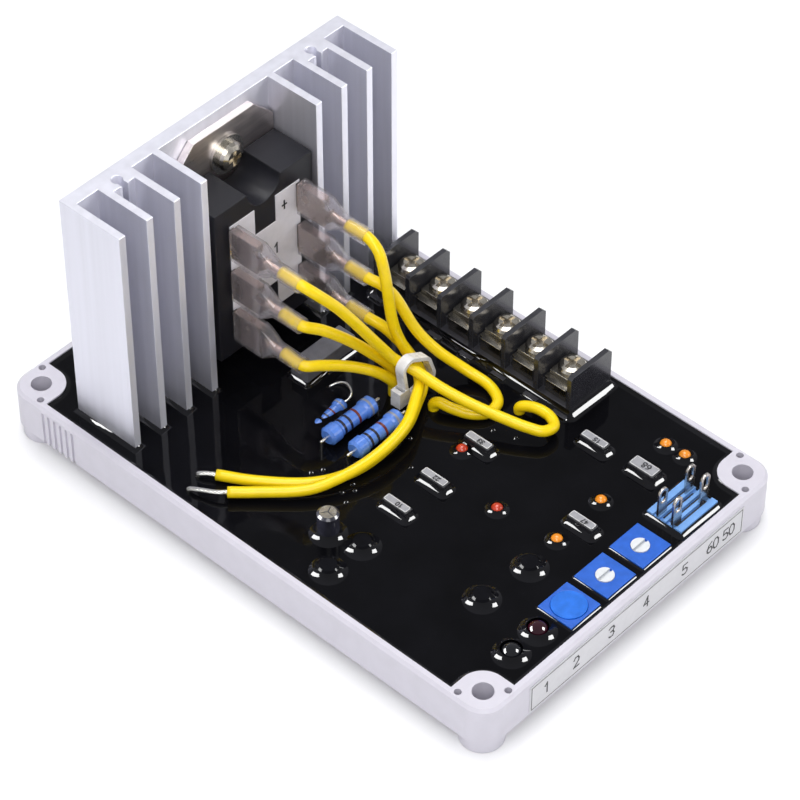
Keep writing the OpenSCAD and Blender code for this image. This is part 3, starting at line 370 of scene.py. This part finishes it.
BEVELS = {"module_body": 0.3, "terminal_block": 0.26, "film_capacitors": 0.35, "box_capacitor": 0.3,
          "trimmer_1": 0.15, "trimmer_2": 0.15, "trimmer_3": 0.15, "selector_block": 0.12, "heat_sink": 0.18,
          "module_base": 0.2, "terminal_clamps": 0.15, "terminal_plates": 0.12, "cable_tie": 0.12,
          "selector_lugs": 0.08, **{f"receptacle_{i}": 0.22 for i in range(1, 7)}}
WELD_GAP = 0.000002
FLAT_WITHIN, SHARP_OVER = math.radians(0.5), math.radians(50)


def soften(node, width):
    weld = NODES[node].modifiers.new("weld", "WELD")
    weld.merge_threshold = WELD_GAP
    flat = NODES[node].modifiers.new("flat", "DECIMATE")
    flat.decimate_type = "DISSOLVE"
    flat.angle_limit = FLAT_WITHIN
    bevel = NODES[node].modifiers.new("bevel", "BEVEL")
    bevel.width = width * MM
    bevel.segments = 2
    bevel.limit_method = "ANGLE"
    bevel.angle_limit = SHARP_OVER
    bevel.harden_normals = True


for name, obj in NODES.items():
    paint(obj, OWN_LOOKS.get(name, MATERIALS[SLOT_OF[name]]))
for name, width in BEVELS.items():
    soften(name, width)
for name, obj in pieces.items():
    paint(obj, MATERIALS["lead_yellow" if name.startswith("lead") else "tinned_wire"])


# Resin creeps up every face that stands in it

RESIN_Z = 0.0133

# Width and height of the skirts
FILM_SKIRT = 0.0014, 0.0012
TRIMMER_SKIRT = 0.0005, 0.0004
BLOCK_SKIRT = 0.0012, 0.001
WIDE_SKIRT = 0.0019, 0.0016
NARROW_SKIRT = 0.0014, 0.0011
STRIP_SKIRT = 0.002, 0.0017
FOOT_SKIRT = 0.0007, 0.00056
SINK_SKIRT = 0.0009, 0.001
WALL_SKIRT = 0.0011, 0.0005
ROUND_SKIRTS = {"power_lamp": WIDE_SKIRT, "warning_lamp": WIDE_SKIRT, "tall_capacitor": WIDE_SKIRT,
                "low_capacitors": WIDE_SKIRT, "orange_capacitors": NARROW_SKIRT,
                "red_capacitors": NARROW_SKIRT}

# A skirt is partly a hollow curve (this share) and partly a plain slope; it dips a little into part and resin
SKIRT_BEND, SKIRT_STEPS = 0.45, 6
SKIRT_INTO_PART, SKIRT_INTO_RESIN = 0.00004, 0.00001

FILM_CORNER, FOOT_CORNER = 0.0005, 0.0004

# Feet of the terminal block
FOOT_COUNT, FOOT_W, FOOT_L, BARRIER_T = 7, 0.002, 0.004, 0.0013

# Heat sink section: fins on each side of the bay, their thickness and pitch, and the back plate
FINS_A_SIDE, FIN_T, FIN_PITCH, BACK_PLATE_T = 4, 0.0019, 0.00805, 0.0035

# Inside of the tray: half its width and length, and the corner bosses
CAVITY_X, CAVITY_Y = 0.0466, 0.0706
BOSS_X, BOSS_Y, BOSS_R, BOSS_STEP = 0.0429, 0.0669, 0.0056, 9

# Small bumps over the tips of buried parts, in millimetres
MOUNDS = ((1.2, 3.2), (1.5, -5.5), (-5, -11.8), (-20.9, -5.8), (-17.4, -5.8), (-18.6, -7.5), (-22.4, -8.5),
          (-18.6, 2), (-21.1, 3.3), (16, -17.4), (17.6, -22.8))
MOUND_R, MOUND_H, MOUND_INTO_RESIN, MOUND_SIDES, MOUND_STEPS = 0.0007, 0.0005, 0.00002, 20, 5


def box_outline(box, r=0.0003, n=4):
    (x0, y0, _), (x1, y1, _) = box
    pts = []
    corners = ((x1 - r, y1 - r, 0), (x0 + r, y1 - r, 90), (x0 + r, y0 + r, 180), (x1 - r, y0 + r, 270))
    for cx, cy, a0 in corners:
        for k in range(n + 1):
            a = math.radians(a0 + 90 * k / n)
            pts.append((cx + r * math.cos(a), cy + r * math.sin(a)))
    return pts


def round_outline(x, y, r, n=40):
    angles = [2 * math.pi * k / n for k in range(n)]
    return [(x + r * math.cos(a), y + r * math.sin(a)) for a in angles]


def grown(pts, d):
    """The closed outline moved outwards by d; it runs anticlockwise."""
    out = []
    n = len(pts)
    for i in range(n):
        a, b, c = Vector(pts[i - 1]), Vector(pts[i]), Vector(pts[(i + 1) % n])
        e, f = (b - a).normalized(), (c - b).normalized()
        p, q = Vector((e.y, -e.x)), Vector((f.y, -f.x))
        m = p + q
        m = p if m.length < 1e-6 else m.normalized()
        out.append(b + m * (d / max(0.35, m.dot(p))))
    return out


def creep_rings(pts, skirt, verts, faces):
    """A skirt of resin around an outline."""
    width, height = skirt
    base = len(verts)
    for k in range(SKIRT_STEPS + 1):
        s = k / SKIRT_STEPS
        a = math.pi / 2 * s
        rise = SKIRT_BEND * (1 - math.sin(a)) + (1 - SKIRT_BEND) * (1 - s)
        reach = SKIRT_BEND * (1 - math.cos(a)) + (1 - SKIRT_BEND) * s
        z = RESIN_Z + height * rise - SKIRT_INTO_RESIN
        verts.extend((p[0], p[1], z) for p in grown(pts, width * reach - SKIRT_INTO_PART))
    join_rings(base, SKIRT_STEPS + 1, len(pts), faces, flip=True)


def mound(x, y, verts, faces):
    base = len(verts)
    for k in range(MOUND_STEPS):
        s = 1 - k / MOUND_STEPS
        z = RESIN_Z + MOUND_H * (1 - s * s) - MOUND_INTO_RESIN
        verts.extend((px, py, z) for px, py in round_outline(x, y, MOUND_R * s, MOUND_SIDES))
    verts.append((x, y, RESIN_Z + MOUND_H))
    join_rings(base, MOUND_STEPS, MOUND_SIDES, faces)
    last = base + (MOUND_STEPS - 1) * MOUND_SIDES
    for i in range(MOUND_SIDES):
        faces.append((last + i, last + (i + 1) % MOUND_SIDES, last + MOUND_SIDES))


def solid_boxes(node):
    """Boxes of the separate solids of a CAD node, in a fixed order."""
    mesh = NODES[node].data
    keys = {}
    where = [keys.setdefault(tuple(round(c * 1e6) for c in v.co), len(keys)) for v in mesh.vertices]
    root = list(range(len(keys)))

    def find(a):
        while root[a] != a:
            root[a] = root[root[a]]
            a = root[a]
        return a

    for poly in mesh.polygons:
        first = find(where[poly.vertices[0]])
        for v in poly.vertices[1:]:
            root[find(where[v])] = first
    boxes = {}
    for v, k in zip(mesh.vertices, where):
        lo, hi = boxes.setdefault(find(k), (Vector(v.co), Vector(v.co)))
        for i in range(3):
            lo[i], hi[i] = min(lo[i], v.co[i]), max(hi[i], v.co[i])
    return sorted(boxes.values(), key=lambda b: (b[0].x, b[0].y))


def sink_outline():
    """Heat sink section, anticlockwise, read from the CAD box and the fins' places."""
    lo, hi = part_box("heat_sink")
    front = hi.y - BACK_PLATE_T
    pts = [(hi.x, hi.y), (lo.x, hi.y)]
    for k in range(FINS_A_SIDE):
        x = lo.x + k * FIN_PITCH
        if k:
            pts.append((x, front))
        pts += [(x, lo.y), (x + FIN_T, lo.y), (x + FIN_T, front)]
    for k in reversed(range(FINS_A_SIDE)):
        x = hi.x - FIN_T - k * FIN_PITCH
        pts += [(x, front), (x, lo.y), (x + FIN_T, lo.y)]
        if k:
            pts.append((x + FIN_T, front))
    return pts


def cavity_outline():
    """Inside of the tray, clockwise, so that growing it moves into the resin."""
    angles = [math.radians(a) for a in range(0, 91, BOSS_STEP)]
    arc = [(BOSS_X - BOSS_R * math.cos(a), BOSS_Y - BOSS_R * math.sin(a)) for a in angles]
    corner = [(BOSS_X - BOSS_R, CAVITY_Y), *arc, (CAVITY_X, BOSS_Y - BOSS_R)]
    pts = []
    for sx, sy in ((1, 1), (-1, 1), (-1, -1), (1, -1)):
        turned = [(sx * x, sy * y) for x, y in corner]
        pts += turned if sx * sy < 0 else turned[::-1]
    return pts[::-1]


def make_creep():
    verts, faces = [], []
    for box in solid_boxes("film_capacitors"):
        creep_rings(box_outline(box, FILM_CORNER), FILM_SKIRT, verts, faces)
    for node in ("trimmer_1", "trimmer_2", "trimmer_3"):
        creep_rings(box_outline(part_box(node)), TRIMMER_SKIRT, verts, faces)
    for node in ("selector_block", "box_capacitor", "module_base"):
        creep_rings(box_outline(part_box(node)), BLOCK_SKIRT, verts, faces)
    for node, skirt in ROUND_SKIRTS.items():
        for lo, hi in solid_boxes(node):
            r = (hi.x - lo.x) / 2
            creep_rings(round_outline((lo.x + hi.x) / 2, (lo.y + hi.y) / 2, r), skirt, verts, faces)
    lo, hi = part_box("terminal_block")
    creep_rings(box_outline((Vector((lo.x + FOOT_W, lo.y, 0)), hi)), STRIP_SKIRT, verts, faces)
    for k in range(FOOT_COUNT):
        y = lo.y + BARRIER_T / 2 + k * (hi.y - lo.y - BARRIER_T) / (FOOT_COUNT - 1)
        y = min(max(y, lo.y + FOOT_L / 2), hi.y - FOOT_L / 2)
        foot = Vector((lo.x, y - FOOT_L / 2, 0)), Vector((lo.x + FOOT_W, y + FOOT_L / 2, 0))
        creep_rings(box_outline(foot, FOOT_CORNER), FOOT_SKIRT, verts, faces)
    creep_rings(sink_outline(), SINK_SKIRT, verts, faces)
    creep_rings(cavity_outline(), WALL_SKIRT, verts, faces)
    for x, y in MOUNDS:
        mound(x * MM, y * MM, verts, faces)
    creep = place(new_mesh("resin_creep", verts, faces, smooth=True))
    paint(creep, RESIN_EDGE)
    pieces["creep"] = creep


make_creep()


# Printed marks: plain numbers and a plus sign, drawn as flat strokes; flat fields of painted shade are laid
# the same way

GLYPHS = {
    "0": [[(.3, 0), (0, .25), (0, .75), (.3, 1), (.7, 1), (1, .75), (1, .25), (.7, 0), (.3, 0)]],
    "1": [[(.15, .75), (.55, 1), (.55, 0)]],
    "2": [[(0, .78), (.25, 1), (.75, 1), (1, .75), (.9, .5), (0, 0), (1, 0)]],
    "3": [[(0, .9), (.3, 1), (.8, 1), (1, .78), (.75, .54), (.35, .52), (.75, .5), (1, .25), (.75, 0),
           (.25, 0), (0, .1)]],
    "4": [[(.75, 0), (.75, 1), (0, .32), (1, .32)]],
    "5": [[(.95, 1), (.1, 1), (.05, .55), (.6, .6), (1, .4), (.95, .15), (.65, 0), (.25, 0), (0, .1)]],
    "6": [[(.85, 1), (.3, .8), (0, .4), (.05, .15), (.35, 0), (.7, 0), (1, .2), (.95, .42), (.65, .56),
           (.3, .54), (0, .35)]],
    "7": [[(0, 1), (1, 1), (.35, 0)]],
    "8": [[(.5, .54), (.15, .7), (.15, .88), (.4, 1), (.6, 1), (.85, .88), (.85, .7), (.5, .54), (0, .32),
           (0, .12), (.3, 0), (.7, 0), (1, .12), (1, .32), (.5, .54)]],
    "+": [[(.5, .1), (.5, .9)], [(.1, .5), (.9, .5)]],
}

# Width and stroke of a glyph as shares of its height, and the gap between glyphs as a share of their width
GLYPH_W, GLYPH_STROKE, GLYPH_GAP = 0.55, 0.14, 0.3
# Height of a print over its face, and of each second stroke over the first, so that none lie in one plane
PRINT_LIFT, STROKE_LIFT = 0.00003, 0.000004


class Print:
    """Flat strokes on a plane given by an origin, an across and an up direction."""

    def __init__(self):
        self.verts, self.faces = [], []

    def quad(self, corners):
        k = len(self.verts)
        self.verts += corners
        self.faces.append((k, k + 1, k + 2, k + 3))

    def stroke(self, o, ax, up, pts, width):
        n = ax.cross(up)
        q = [o + ax * p[0] + up * p[1] for p in pts]
        for i, (a, b) in enumerate(zip(q, q[1:])):
            t = (b - a).normalized()
            s = t.cross(n) * (width / 2)
            a2, b2 = a - t * (width / 2), b + t * (width / 2)
            lift = n * (STROKE_LIFT * (i % 2))
            self.quad([a2 + s + lift, b2 + s + lift, b2 - s + lift, a2 - s + lift])

    def write(self, text, o, ax, up, height, width=None, gap=GLYPH_GAP):
        w = height * GLYPH_W
        for i, ch in enumerate(text):
            at = o + ax * (i * w * (1 + gap))
            for line in GLYPHS[ch]:
                self.stroke(at, ax, up, [(p[0] * w, p[1] * height) for p in line],
                            width or height * GLYPH_STROKE)

    def frame(self, o, ax, up, w, h, width):
        for a, b in (((0, 0), (w, 0)), ((w, 0), (w, h)), ((w, h), (0, h)), ((0, h), (0, 0))):
            self.stroke(o, ax, up, [a, b], width)

    def field(self, o, ax, up, w, h):
        self.quad([o, o + ax * w, o + ax * w + up * h, o + up * h])

    def done(self, name, slot, m):
        paint(place(new_mesh(name, self.verts, self.faces)), m)


# Front label: text and its place along X in millimetres, and the line around it
FRONT_TEXTS = (("1", -30), ("2", -20.5), ("3", -9), ("4", 2.5), ("5", 15.5), ("60", 24), ("50", 29.5))
FRONT_MARGIN, FRONT_LINE, FRONT_TEXT_UP, FRONT_TEXT_H = 0.0005, 0.00022, 0.0024, 0.003

# Module label: text and its place along X and Z in millimetres
MODULE_TEXTS = (("+", 6.2, 52), ("1", 3.4, 41), ("2", -6.2, 41), ("3", -6.4, 29.6))
MODULE_TEXT_H, MODULE_STROKE = 0.0027, 0.0005

# Film capacitors: a grey field, a pale frame and a number on each
FILM_TEXTS = ("10", "22", "47", "33", "15", "68")
FILM_MARGIN, FILM_LINE, FILM_STROKE, FILM_GAP = 0.0004, 0.00018, 0.0003, 0.5
FILM_TEXT_IN, FILM_TEXT_ALONG, FILM_TEXT_SHARE = 0.0009, 0.0022, 0.42
FRAME_OVER_FIELD, TEXT_OVER_FIELD = 0.00001, 0.00002

# Grooves of the selector block, in groove widths from its middle, and a dark field of painted shade on the
# floor of each, standing in for the slots' depth
GROOVE_ROWS, GROOVE_W, GROOVE_DEPTH = (-3, -1, 1, 3), 0.0009, 0.0008
SLOT_INSET, SLOT_SHARE, SLOT_LIFT = 0.0012, 0.8, 0.00004


def make_label_prints():
    ink = Print()
    lo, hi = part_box("front_label")
    face = lo.y - PRINT_LIFT
    ink.frame(Vector((lo.x + FRONT_MARGIN, face, lo.z + FRONT_MARGIN)), X, Z, hi.x - lo.x - 2 * FRONT_MARGIN,
              hi.z - lo.z - 2 * FRONT_MARGIN, FRONT_LINE)
    for text, x in FRONT_TEXTS:
        ink.write(text, Vector((x * MM, face, lo.z + FRONT_TEXT_UP)), X, Z, FRONT_TEXT_H)
    ink.done("front_label_print", "label", INK_AND_SHADE)

    ink = Print()
    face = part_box("module_label")[0].y - PRINT_LIFT
    for text, x, z in MODULE_TEXTS:
        ink.write(text, Vector((x * MM, face, z * MM)), X, Z, MODULE_TEXT_H, MODULE_STROKE)
    ink.done("module_label_print", "label", INK_AND_SHADE)


def make_film_prints():
    ink, pale, plate = Print(), Print(), Print()
    for text, (lo, hi) in zip(FILM_TEXTS, solid_boxes("film_capacitors")):
        top = hi.z + PRINT_LIFT
        w, l = hi.x - lo.x, hi.y - lo.y
        corner = Vector((hi.x - FILM_MARGIN, lo.y + FILM_MARGIN, top))
        size = l - 2 * FILM_MARGIN, w - 2 * FILM_MARGIN
        plate.field(corner, Y, -X, *size)
        pale.frame(corner + Z * FRAME_OVER_FIELD, Y, -X, *size, FILM_LINE)
        ink.write(text, Vector((hi.x - FILM_TEXT_IN, lo.y + FILM_TEXT_ALONG, top + TEXT_OVER_FIELD)), Y, -X,
                  w * FILM_TEXT_SHARE, FILM_STROKE, FILM_GAP)
    plate.done("film_field_print", "film_grey", GREY_FIELD)
    pale.done("film_frame_print", "film_grey", PALE_PRINT)
    ink.done("film_print", "film_grey", INK_AND_SHADE)


# Painted shade: dark fields on the groove floors stand for the shade inside the selector's slots
def make_slot_shade():
    slot_shade = Print()
    lo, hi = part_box("selector_block")
    middle, floor = (lo.y + hi.y) / 2, hi.z - GROOVE_DEPTH + SLOT_LIFT
    for row in GROOVE_ROWS:
        start = Vector((lo.x + SLOT_INSET, middle + row * GROOVE_W - GROOVE_W * SLOT_SHARE / 2, floor))
        slot_shade.field(start, X, Y, hi.x - lo.x - 2 * SLOT_INSET, GROOVE_W * SLOT_SHARE)
    slot_shade.done("selector_slot_shade", "selector_blue", INK_AND_SHADE)


make_label_prints()
make_film_prints()
make_slot_shade()


# Colour bands and the bent leg of the resistors, and the bright end of the tall can with painted shade for
# its vent grooves

# Length, radius and tilt in degrees of each body; the third one lies half in the resin
RESISTORS = {1: (0.0148, 0.0023, 0), 2: (0.0148, 0.0023, 0), 3: (0.0096, 0.0018, 10)}
# Place of each band as a share of the length from the middle; the last one lies on the end cup
BANDS = ((-0.21, BAND_DARK), (-0.08, BAND_DARK), (0.1, BAND_RED), (0.36, BAND_GREY))
BAND_W, BAND_SIDES, CUP_FROM = 0.045, 36, 0.3
BAND_OVER_CUP, BAND_UNDER_CUP = 0.00003, 0.00031

# From the sunk resistor's raised end round and back into the resin
SUNK_LEG = [(-.0004, .0133, .0131), (.001, .0129, .0135), (.0022, .0132, .0139), (.0034, .0146, .0141),
            (.0039, .0166, .0141), (.003, .0181, .0138), (.0013, .0192, .0131)]
SUNK_LEG_R, SUNK_LEG_SIDES, SUNK_LEG_STEPS = 0.00032, 10, 5

CAN_RIM, VENT_LIFT, VENT_L, VENT_W = 0.0006, 0.00006, 0.0014, 0.0002
VENT_ANGLES = 0.4, 0.4 + 2.1, 0.4 + 4.2


def ring_band(name, centre, axis, r, width, m):
    verts, faces = [], []
    up = axis.cross(Y)
    for d in (-width / 2, width / 2):
        verts.extend(ring(centre + axis * d, Y, up, r, BAND_SIDES))
    join_rings(0, 2, BAND_SIDES, faces)
    paint(place(new_mesh(name, verts, faces, smooth=True)), m)


def make_bands():
    for i, (length, r, tilt) in RESISTORS.items():
        lo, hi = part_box(f"resistor_{i}")
        axis = Vector((math.cos(math.radians(tilt)), 0, math.sin(math.radians(tilt))))
        for k, (share, m) in enumerate(BANDS, 1):
            band_r = r + BAND_OVER_CUP if abs(share) > CUP_FROM else r - BAND_UNDER_CUP
            centre = (lo + hi) / 2 + axis * (length * share)
            ring_band(f"band_{i}_{k}", centre, axis, band_r, length * BAND_W, m)


def make_sunk_leg():
    path = smooth_route(SUNK_LEG, SUNK_LEG_STEPS)
    leg = place(tube("sunk_resistor_leg", path, SUNK_LEG_R, SUNK_LEG_SIDES))
    paint(leg, MATERIALS["tinned_wire"])


def make_can_top():
    lo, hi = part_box("tall_capacitor")
    x, y, r = (lo.x + hi.x) / 2, (lo.y + hi.y) / 2, (hi.x - lo.x) / 2
    rim = [(px, py, hi.z + PRINT_LIFT) for px, py in round_outline(x, y, r - CAN_RIM)]
    top = place(new_mesh("can_top", rim, [tuple(range(len(rim)))]))
    paint(top, MATERIALS["screw_steel"])
    # Painted shade: dark strokes stand for the shade in the vent grooves of the can's top
    vent_shade = Print()
    for a in VENT_ANGLES:
        line = [(0, 0), (VENT_L * math.cos(a), VENT_L * math.sin(a))]
        vent_shade.stroke(Vector((x, y, hi.z + VENT_LIFT)), X, Y, line, VENT_W)
    vent_shade.done("can_vent_shade", "can_dark", INK_AND_SHADE)


make_bands()
make_sunk_leg()
make_can_top()


# Stage: a pale floor and soft light

FLOOR_HALF, FLOOR_Z = 3.0, -0.0001
FLOOR_COLOR, SKY_COLOR, SKY_STRENGTH = (0.93, 0.93, 0.935), (0.95, 0.96, 1.0, 1), 0.38
LIGHT_TARGET = Vector((0, 0, 0.02))

# Name, place, size, power and what the light falls on: wet pieces, dry pieces or the fins
LIGHTS = (
    ("key", (-0.5, -0.48, 0.66), (0.5, 0.5), 3.3, "dry"),
    ("top", (0.14, 0.14, 0.9), (0.6, 0.6), 5.0, "dry"),
    ("fill", (-0.36, -0.06, 0.86), (0.5, 0.5), 1.6, "dry"),
    ("left", (-0.8, 0.3, 0.4), (0.5, 0.5), 0.4, "dry"),
    ("right", (0.55, -0.65, 0.35), (0.4, 0.4), 1.2, "dry"),
    ("fin_light", (0.42, -0.75, 0.4), (0.5, 0.5), 8.0, "fins"),
    ("left_glint", (-0.52, 0.64, 0.46), (0.75, 0.36), 26.0, "wet"),
    ("right_glint", (0.52, -0.56, 0.54), (0.4, 0.36), 14.0, "wet"),
)
GLOSSY_NODES = ("power_lamp", "warning_lamp", "low_capacitors")


def light_group(name, objects, leave_out=False):
    """Collection for light linking: only these objects, or all but these."""
    group = bpy.data.collections.new(name)
    for obj in objects:
        group.objects.link(obj)
    if leave_out:
        for member in group.collection_objects:
            member.light_linking.link_state = "EXCLUDE"
    return group


def make_floor():
    s = FLOOR_HALF
    corners = [(-s, -s, FLOOR_Z), (s, -s, FLOOR_Z), (s, s, FLOOR_Z), (-s, s, FLOOR_Z)]
    floor = new_mesh("floor", corners, [(0, 1, 2, 3)])
    paint(floor, material("floor_white", FLOOR_COLOR, 0.7, vary=0.008, grain=3))


def make_light():
    world = bpy.data.worlds.new("world")
    bpy.context.scene.world = world
    world.use_nodes = True
    sky = world.node_tree.nodes["Background"]
    sky.inputs["Color"].default_value = SKY_COLOR
    sky.inputs["Strength"].default_value = SKY_STRENGTH
    glossy = [pieces["creep"], *(NODES[n] for n in GLOSSY_NODES)]
    groups = {"wet": light_group("wet", [*glossy, NODES["tall_capacitor"]]),
              "dry": light_group("dry", glossy, leave_out=True),
              "fins": light_group("fins", [NODES["heat_sink"]])}
    passed = light_group("passed", [NODES["heat_sink"]], leave_out=True)
    for name, spot, size, power, falls_on in LIGHTS:
        data = bpy.data.lights.new(name, "AREA")
        data.shape, data.energy = "RECTANGLE", power
        data.size, data.size_y = size
        light = bpy.data.objects.new(name, data)
        light.location = spot
        light.rotation_mode = "QUATERNION"
        light.rotation_quaternion = (LIGHT_TARGET - Vector(spot)).to_track_quat("-Z", "Y")
        light.light_linking.receiver_collection = groups[falls_on]
        if falls_on == "wet":
            light.light_linking.blocker_collection = passed
        bpy.context.scene.collection.objects.link(light)


make_floor()
make_light()
